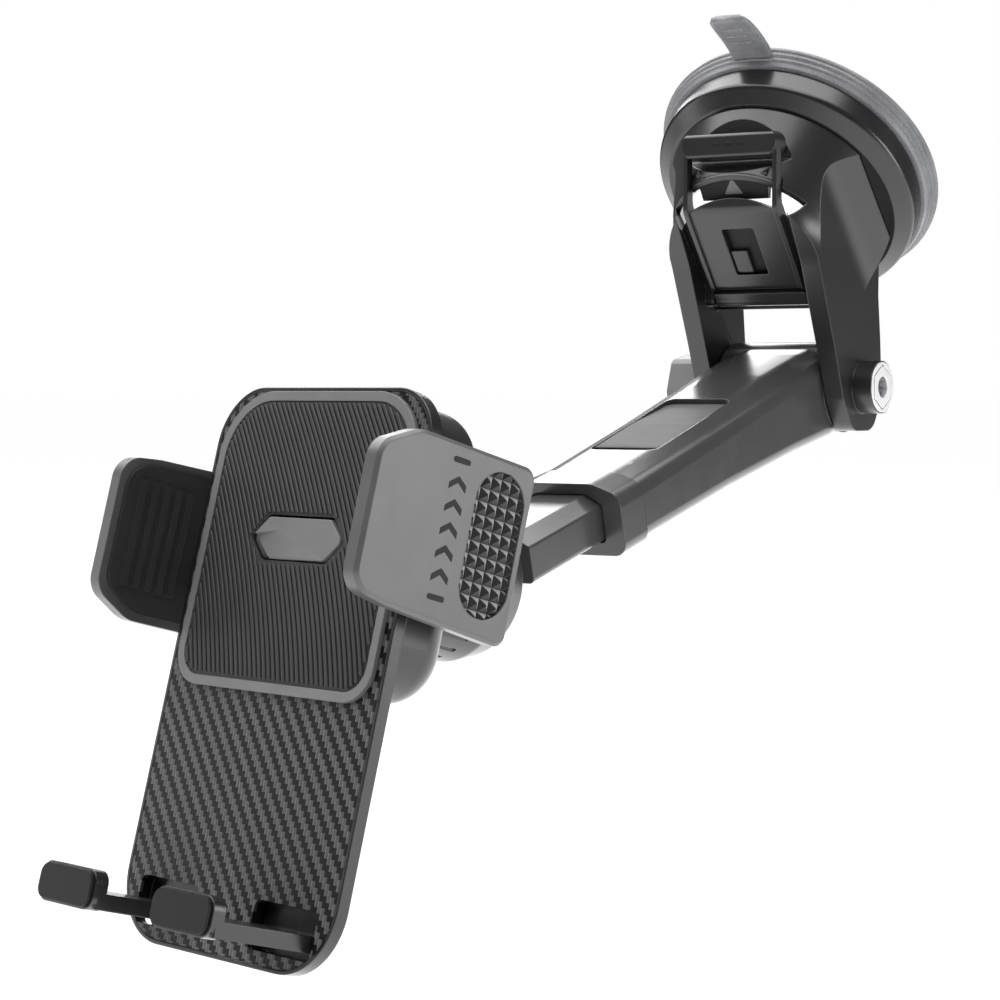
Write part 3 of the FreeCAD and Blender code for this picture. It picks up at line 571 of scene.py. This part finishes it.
def jaw_marks(side):
    """Generic marks on a jaw's outer face: a column of chevrons between two bars."""
    bm = bmesh.new()
    middle = -38.6
    for k in range(5):
        low = -6.2 + 4.4 * k
        prism(bm, [[(middle - 2.2, low), (middle, low + 1.5), (middle + 2.2, low),
                    (middle + 2.2, low + 1.3), (middle, low + 2.8), (middle - 2.2, low + 1.3)]],
              facing_right, 40.45, 40.55)
    for low in (-9.6, 16.6):
        prism(bm, [rounded([(middle - 2.2, low, 0.5), (middle + 2.2, low, 0.5),
                            (middle + 2.2, low + 1.1, 0.5), (middle - 2.2, low + 1.1, 0.5)], 4)],
              facing_right, 40.45, 40.55)
    finish(bm, "jaw_marks_" + side, CRADLE, "matte_black", "jaw_" + side, turned=side == "left")


# ---- suction pad ----------------------------------------------------------------
def gel_pad():
    bm = bmesh.new()
    lathe(bm, [(0, 0), (36.6, 0), (36.86, 0.25), (36.86, 0.95), (36.6, 1.15), (36.35, 1.25),
               (36.45, 1.5), (36.4, 2.15), (36.0, 2.3), (35.75, 2.45), (35.85, 2.7), (35.75, 3.3),
               (35.35, 3.45), (35.15, 3.6), (35.2, 3.9), (34.8, 4.8), (34.2, 4.95), (30, 4.95),
               (28, 2.6), (12, 2.6), (9, 7.5), (3.6, 7.5), (3.6, 2.2), (0, 2.2)])
    finish(bm, "gel_pad", CUP, "gel", "base", ["suction_pad"], smooth=32)


def pull_tab():
    """Curved tongue on the gel's edge with three short ribs."""
    bm = bmesh.new()
    spine = [(33.0, 1.9), (36.0, 1.95), (38.5, 2.25), (41.0, 2.9), (43.5, 3.75), (46.0, 4.75),
             (48.2, 5.75), (49.8, 6.55), (50.9, 7.1), (51.5, 7.4)]
    halves = [5.55, 5.55, 5.5, 5.5, 5.5, 5.45, 5.3, 4.9, 4.1, 2.6]
    rings = []
    for (y, h), half in zip(spine, halves):
        thick = 1.0 if half > 4 else 0.6
        lean = Vector((-0.38, 0.92)) if y > 38 else Vector((0, 1))
        ring = []
        for k in range(20):
            turn = 2 * math.pi * k / 20
            x = half * math.copysign(abs(math.cos(turn)) ** 0.35, math.cos(turn))
            lift = thick * math.copysign(abs(math.sin(turn)) ** 0.6, math.sin(turn))
            ring.append(bm.verts.new((x, y + lean.x * lift, h + lean.y * lift)))
        rings.append(ring)
    for first, second in zip(rings, rings[1:]):
        for k in range(20):
            bm.faces.new((first[k], first[(k + 1) % 20], second[(k + 1) % 20], second[k]))
    bm.faces.new(rings[0][::-1])
    bm.faces.new(rings[-1])
    finish(bm, "pull_tab", CUP, "gel", "base", smooth=50)
    for k, (y, h) in enumerate([(41.6, 4.05), (44.2, 4.95), (46.8, 6.0)]):
        bar = bmesh.new()
        outline = rounded([(-2.9, -0.35, 0.3), (2.9, -0.35, 0.3), (2.9, 0.35, 0.3), (-2.9, 0.35, 0.3)], 4)
        prism(bar, [outline], lambda a, b, d: (a, y + b - 0.4 * d, h + d), -0.3, 0.3)
        finish(bar, "tab_rib_%d" % k, CUP, "gel", "base")


# ---- yoke details -----------------------------------------------------------------
def on_apron(a, b, depth):
    """Plane of the plate that hangs from the dome's rim, in row millimetres; b is the height."""
    return (a, -36.9 + (-5.2 - b) * 2.5 / 6.0 - depth, b - depth * 0.42)


def apron_face():
    bm = bmesh.new()
    corners = [(-8.9, -10.9, 0.4), (8.9, -10.9, 0.4), (9.7, -5.6, 0.4), (-9.7, -5.6, 0.4)]
    prism(bm, [rounded(corners, 3)], on_apron, 0.02, 0.14)
    finish(bm, "apron_face", Matrix.Identity(4), "matte_black", "base")
    arrow = bmesh.new()
    prism(arrow, [rounded([(-2.6, -9.9, 0.2), (2.6, -9.9, 0.2), (0, -5.9, 0.3)], 3)],
          on_apron, 0.13, 0.24)
    finish(arrow, "apron_arrow", Matrix.Identity(4), "grey_plastic", "base")


def lock_marks():
    """Three short bars on the lock lever's tab."""
    bm = bmesh.new()
    for x in (-3.2, 0, 3.2):
        prism(bm, [rounded([(x - 1.1, 1.4, 0.4), (x + 1.1, 1.4, 0.4), (x + 1.1, 2.5, 0.4),
                            (x - 1.1, 2.5, 0.4)], 3)], facing_front, 38.45, 38.62)
    finish(bm, "lock_marks", Matrix.Identity(4), "matte_black", "lever")


def on_lever(a, b, depth):
    """Plane of the lever's plate; b runs up the plate, depth comes out of it."""
    return (a, -37.2 - 0.62 * b - 0.784 * depth, -14.0 + 0.784 * b - 0.62 * depth)


def lever_slot():
    """Painted shade on the floor of the lever's slot, a thin matte black sheet, and a small catch inside the slot.
    """
    # Painted shade: the black sheet darkens the slot's floor where the recess lies in shade.
    bm = bmesh.new()
    prism(bm, [[(-4.3, -19.2), (4.3, -19.2), (4.3, -5.8), (-4.3, -5.8)]], on_lever, -1.7, -1.45)
    finish(bm, "lever_slot", Matrix.Identity(4), "matte_black", "lever")
    catch = bmesh.new()
    prism(catch, [rounded([(-4.2, -19.1, 0.3), (0.2, -19.1, 0.3), (0.2, -12.6, 0.3),
                           (-4.2, -12.6, 0.3)], 3)], on_lever, -1.5, -0.5)
    finish(catch, "lever_catch", Matrix.Identity(4), "satin_black", "lever")


def flanged_nut():
    """Hexagon nut on a round flange, let into the yoke's boss."""
    bm = bmesh.new()

    def round_edge(radius):
        steps = [math.radians(7.5 * k) for k in range(48)]
        return [(radius * math.cos(a), radius * math.sin(a)) for a in steps]

    def six_edge(reach):
        corners = [math.radians(60 * k + 30) for k in range(6)]
        return [(reach * math.cos(a), reach * math.sin(a)) for a in corners]

    prism(bm, [round_edge(6.3), six_edge(5.75)], facing_right, 24.9, 25.9)
    prism(bm, [six_edge(5.4), round_edge(2.68)], facing_right, 21.9, 25.95)
    pivot = Matrix.Translation(place_of("arm_pivot"))
    finish(bm, "flanged_nut", pivot, "bright_steel", "base", ["hex_nut"], smooth=30)
    # Painted shade: a thin matte black disc over the bolt's end stands in for the shadow in its hex socket.
    socket_shade = bmesh.new()
    prism(socket_shade, [round_edge(2.5)], facing_right, 22.42, 22.6)
    finish(socket_shade, "bolt_socket_shade", pivot, "matte_black", "knob_bolt")


# ---- springs ------------------------------------------------------------------------
def coil(bm, centre, radius, wire, length, turns, place):
    """Round wire wound about local Z, closed at both ends."""
    steps = int(24 * turns)
    rings = []
    for k in range(steps + 1):
        angle = 2 * math.pi * turns * k / steps
        ring = []
        for m in range(8):
            turn = 2 * math.pi * m / 8
            reach = radius + wire * math.cos(turn)
            height = length * k / steps + wire * math.sin(turn)
            ring.append(bm.verts.new(place(centre[0] + reach * math.cos(angle),
                                           centre[1] + reach * math.sin(angle), centre[2] + height)))
        rings.append(ring)
    for first, second in zip(rings, rings[1:]):
        for m in range(8):
            n = (m + 1) % 8
            bm.faces.new((first[m], first[n], second[n], second[m]))
    bm.faces.new(rings[0][::-1])
    bm.faces.new(rings[-1])


def upright(x, y, z):
    return (x, y, z)


def lying_back(x, y, z):
    """Winds along the cradle's depth axis."""
    return (x, z, -y)


def spring(name, matrix, centres, wind, place, slot, body, foot):
    """Spring or pair of springs in place of its CAD part, wound about its centres."""
    bm = bmesh.new()
    for centre in centres:
        coil(bm, centre, *wind, place)
    made = finish(bm, "coil_" + name, matrix, slot, body, [name], smooth=60)
    origin = matrix @ Vector((0, 0, 0))
    axis = matrix @ Vector(place(0, 0, 1)) - origin
    tuple(matrix @ (Vector(place(*centres[0][:2], foot)) * MM))
    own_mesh(made)


def springs():
    # The rod spring wears the pale liner, so it glows with the same painted light.
    spring("rod_spring", CUP, [(0, 0, 18.2)], (4.4, 0.35, 3.8, 2.5), upright, "pale_liner", "base",
           17.85)
    spring("button_spring", ARM, [(0, -66.0, 5.95)], (2.6, 0.3, 0.9, 1.5), upright, "steel", "arm",
           5.65)
    spring("key_springs", CRADLE, [(-12.0, 0, -36.05), (12.0, 0, -36.05)], (1.5, 0.2, 1.6, 3),
           lying_back, "steel", "cradle", -34.25)


rest_pad()
springs()
faceted_key()
for side in ("right", "left"):
    studs(side)
    jaw_marks(side)
gel_pad()
pull_tab()
apron_face()
lock_marks()
lever_slot()
flanged_nut()


# ---- studio ---------------------------------------------------------------
AZIMUTH = math.radians(33.16)
ELEVATION = math.radians(2.40)
DISTANCE = 0.62
AIM = Vector((-0.0299, -0.0944, -0.0836))
LENS = 95.47


def camera():
    forward = Vector((-math.sin(AZIMUTH) * math.cos(ELEVATION),
                      math.cos(AZIMUTH) * math.cos(ELEVATION), -math.sin(ELEVATION)))
    data = bpy.data.cameras.new("camera")
    data.lens = LENS
    data.sensor_width = 36.0
    data.clip_start = 0.01
    data.clip_end = 100.0
    made = bpy.data.objects.new("camera", data)
    bpy.context.scene.collection.objects.link(made)
    made.location = AIM - forward * DISTANCE
    made.rotation_mode = "QUATERNION"
    made.rotation_quaternion = forward.to_track_quat("-Z", "Y")
    bpy.context.scene.camera = made


def soft_box(name, place, target, width, height, power):
    data = bpy.data.lights.new(name, "AREA")
    data.shape = "RECTANGLE"
    data.size = width
    data.size_y = height
    data.energy = power
    made = bpy.data.objects.new(name, data)
    bpy.context.scene.collection.objects.link(made)
    made.location = place
    made.rotation_mode = "QUATERNION"
    made.rotation_quaternion = (Vector(target) - Vector(place)).to_track_quat("-Z", "Y")
    made.visible_camera = False


WORLD_GLOW = 0.13           # what the object sees of the surroundings; the camera sees white
FLOOR_SEEN = 0.97
FLOOR_BELOW = 12 * MM       # under the object at rest
BOUNCE_NEAR = 2.3           # floor glow that the object sees, and where it fades
BOUNCE_FAR = 0.2
FADE_START = 0.5
FADE_END = 1.7


def studio():
    middle = (cad_box[0] + cad_box[1]) / 2
    scene = bpy.context.scene
    scene.view_settings.view_transform = "Standard"
    world = bpy.data.worlds.new("studio")
    scene.world = world
    world.use_nodes = True
    tree = world.node_tree
    dim = tree.nodes["Background"]
    dim.inputs["Color"].default_value = (1, 1, 1, 1)
    dim.inputs["Strength"].default_value = WORLD_GLOW
    bright = tree.nodes.new("ShaderNodeBackground")
    bright.inputs["Strength"].default_value = 1.0
    bright.inputs["Color"].default_value = (1, 1, 1, 1)
    seen = tree.nodes.new("ShaderNodeLightPath")
    mix = tree.nodes.new("ShaderNodeMixShader")
    tree.links.new(seen.outputs["Is Camera Ray"], mix.inputs["Fac"])
    tree.links.new(dim.outputs["Background"], mix.inputs[1])
    tree.links.new(bright.outputs["Background"], mix.inputs[2])
    tree.links.new(mix.outputs["Shader"], tree.nodes["World Output"].inputs["Surface"])
    soft_box("overhead", middle + Vector((-0.40, -0.10, 0.95)), middle + Vector((-0.4, -0.1, 0)),
             1.8, 1.8, 50)
    soft_box("back_left_high", middle + Vector((-0.66, 0.90, 0.55)), middle, 0.5, 0.35, 3.2)
    soft_box("left_low", middle + Vector((-1.15, -0.40, -0.02)), middle, 0.35, 0.7, 2.2)
    soft_box("right_side", middle + Vector((1.15, 0.42, 0.10)), middle, 0.45, 0.9, 10)


def floor():
    """Pale floor; the camera sees an even tone, the object a glow that fades with distance."""
    low = cad_box[0].z - FLOOR_BELOW
    reach = 30.0
    mesh = bpy.data.meshes.new("floor")
    mesh.from_pydata([(-reach, -reach, low), (reach, -reach, low), (reach, reach, low),
                      (-reach, reach, low)], [], [(0, 1, 2, 3)])
    made = bpy.data.objects.new("floor", mesh)
    bpy.context.scene.collection.objects.link(made)
    look = Look("floor", Roughness=0.9, Emission_Color=(1, 1, 1, 1), Emission_Strength=FLOOR_SEEN)
    look.colour(look.ramp(look.noise(400.0), [(0.3, 0.09), (0.7, 0.11)]))
    bounce = look.node("ShaderNodeEmission")
    reach_in = look.node("ShaderNodeVectorMath", operation="LENGTH")
    look.join(look.place, reach_in.inputs[0])
    fall = look.node("ShaderNodeMapRange")
    for key, value in (("From Min", FADE_START), ("From Max", FADE_END),
                       ("To Min", BOUNCE_NEAR), ("To Max", BOUNCE_FAR)):
        fall.inputs[key].default_value = value
    look.join(reach_in.outputs["Value"], fall.inputs["Value"])
    look.join(fall.outputs["Result"], bounce.inputs["Strength"])
    seen = look.node("ShaderNodeLightPath")
    mix = look.node("ShaderNodeMixShader")
    look.join(seen.outputs["Is Camera Ray"], mix.inputs["Fac"])
    look.join(bounce.outputs["Emission"], mix.inputs[1])
    look.join(look.shader.outputs["BSDF"], mix.inputs[2])
    look.join(mix.outputs["Shader"], look.tree.nodes["Material Output"].inputs["Surface"])
    mesh.materials.append(look.material)


camera()
studio()
floor()
